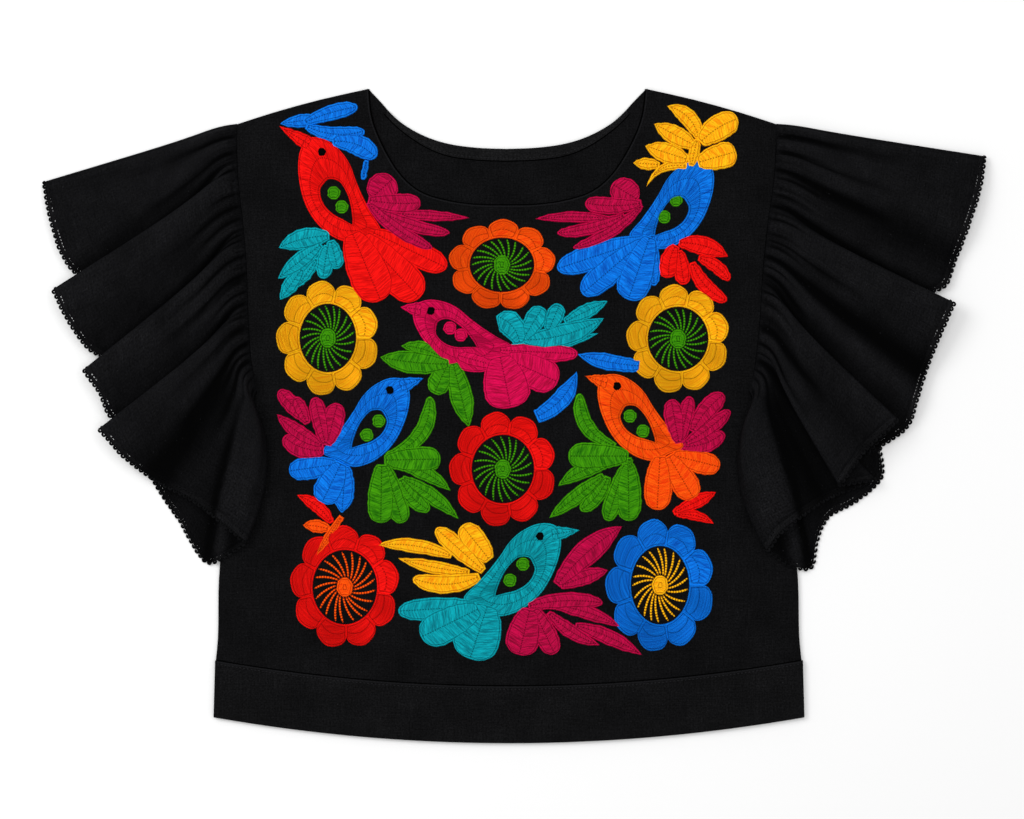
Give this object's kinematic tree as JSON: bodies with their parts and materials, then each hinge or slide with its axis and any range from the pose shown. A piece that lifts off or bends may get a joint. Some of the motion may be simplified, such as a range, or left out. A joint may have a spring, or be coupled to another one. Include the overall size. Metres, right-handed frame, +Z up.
{
  "type": "short embroidered blouse",
  "caption": "Short black blouse laid flat, round neck, deep hem band and gathered flutter sleeves, with a front for bird and flower embroidery.",
  "frame": {"origin": "middle of the garment's outline from above, on the surface that it lies on", "axes": "+Z up out of the front, +Y towards the neck, +X to the right of a viewer looking at the front"},
  "size_m": [0.8034, 0.556, 0.0193],
  "materials": {
    "front_panel": "matt",
    "back_panel": "matt",
    "front_hem_band": "matt",
    "back_hem_band": "matt",
    "back_neck_facing": "matt",
    "sleeve_left": "matt",
    "sleeve_right": "matt",
    "edging_left": "matt",
    "edging_right": "matt"
  },
  "bodies": {
    "root": {"front_panel": "front_panel", "back_panel": "back_panel", "front_hem_band": "front_hem_band", "back_hem_band": "back_hem_band", "back_neck_facing": "back_neck_facing", "sleeve_left": "sleeve_left", "sleeve_right": "sleeve_right", "edging_left": "edging_left", "edging_right": "edging_right"}
  },
  "joints": []
}
